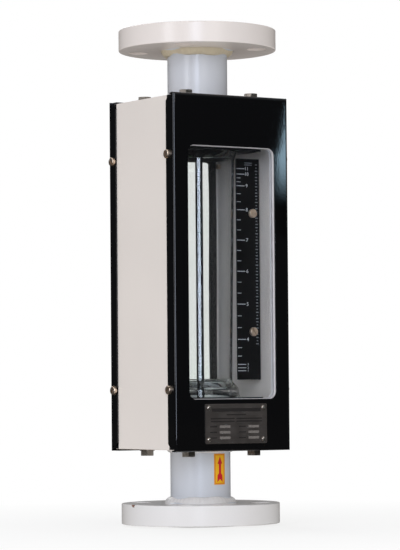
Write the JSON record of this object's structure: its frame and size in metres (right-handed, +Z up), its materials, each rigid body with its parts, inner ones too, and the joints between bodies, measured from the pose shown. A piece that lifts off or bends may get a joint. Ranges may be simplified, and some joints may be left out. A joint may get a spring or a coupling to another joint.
{
  "type": "rotameter",
  "caption": "In-line variable area flow meter: a float rides a guide rod inside a tapered glass tube beside a scale, in a windowed sheet metal housing with a bolting flange at each end.",
  "frame": {"origin": "centre of the lower flange's sealing face, on the tube's axis", "axes": "+Z up along the tube, from inlet to outlet; -Y towards the scale window and data plate"},
  "size_m": [0.127, 0.127, 0.4],
  "materials": {
    "flange_enamel": "glossy cream enamel",
    "panel_enamel": "glossy cream enamel",
    "cover_enamel": "glossy black enamel",
    "head_enamel": "satin black enamel",
    "window_pane": "clear float glass",
    "tube_glass": "clear borosilicate glass",
    "window_rubber": "light grey moulded rubber",
    "fibre_gasket": "compressed fibre",
    "ptfe": "turned PTFE",
    "zinc_steel": "zinc plated steel",
    "screw_nickel": "nickel plated brass",
    "stainless": "turned stainless steel",
    "scale_anodised": "black anodised",
    "data_plate_steel": "etched stainless sheet",
    "rivet_aluminium": "bright",
    "label_vinyl": "printed vinyl"
  },
  "bodies": {
    "meter": {"clamp_bolt_washers": "zinc_steel", "clinch_nuts": "zinc_steel", "data_plate": "data_plate_steel", "data_plate_rivets": "rivet_aluminium", "flow_label": "label_vinyl", "front_cover": "cover_enamel", "front_cover_screws": "screw_nickel", "front_pane_clips": "zinc_steel", "front_window_gasket": "window_rubber", "front_window_pane": "window_pane", "glass_tube": "tube_glass", "guide_rod": "stainless", "left_side_panel": "panel_enamel", "lower_clamp_bolts": "zinc_steel", "lower_clamp_insert": "ptfe", "lower_clamp_plate": "head_enamel", "lower_end_plate": "panel_enamel", "lower_flange": "flange_enamel", "lower_float_stop": "stainless", "lower_head": "head_enamel", "lower_head_gasket": "fibre_gasket", "lower_neck_pipe": "flange_enamel", "lower_tube_seal": "ptfe", "rear_cover": "cover_enamel", "rear_cover_screws": "screw_nickel", "rear_pane_clips": "zinc_steel", "rear_window_gasket": "window_rubber", "rear_window_pane": "window_pane", "right_side_panel": "panel_enamel", "rod_nuts": "zinc_steel", "scale_bracket": "panel_enamel", "scale_nuts": "zinc_steel", "scale_plate": "scale_anodised", "scale_screws": "screw_nickel", "upper_clamp_bolts": "zinc_steel", "upper_clamp_insert": "ptfe", "upper_clamp_plate": "head_enamel", "upper_end_plate": "panel_enamel", "upper_flange": "flange_enamel", "upper_float_stop": "stainless", "upper_head": "head_enamel", "upper_head_gasket": "fibre_gasket", "upper_neck_pipe": "flange_enamel", "upper_stop_sleeve": "stainless", "upper_tube_seal": "ptfe"},
    "float": {"metering_float": "stainless"}
  },
  "joints": [
    {"name": "float_rise", "type": "slide", "parent": "meter", "child": "float", "axis": [0, 0, 1], "range_m": [0, 0.2006]}
  ]
}
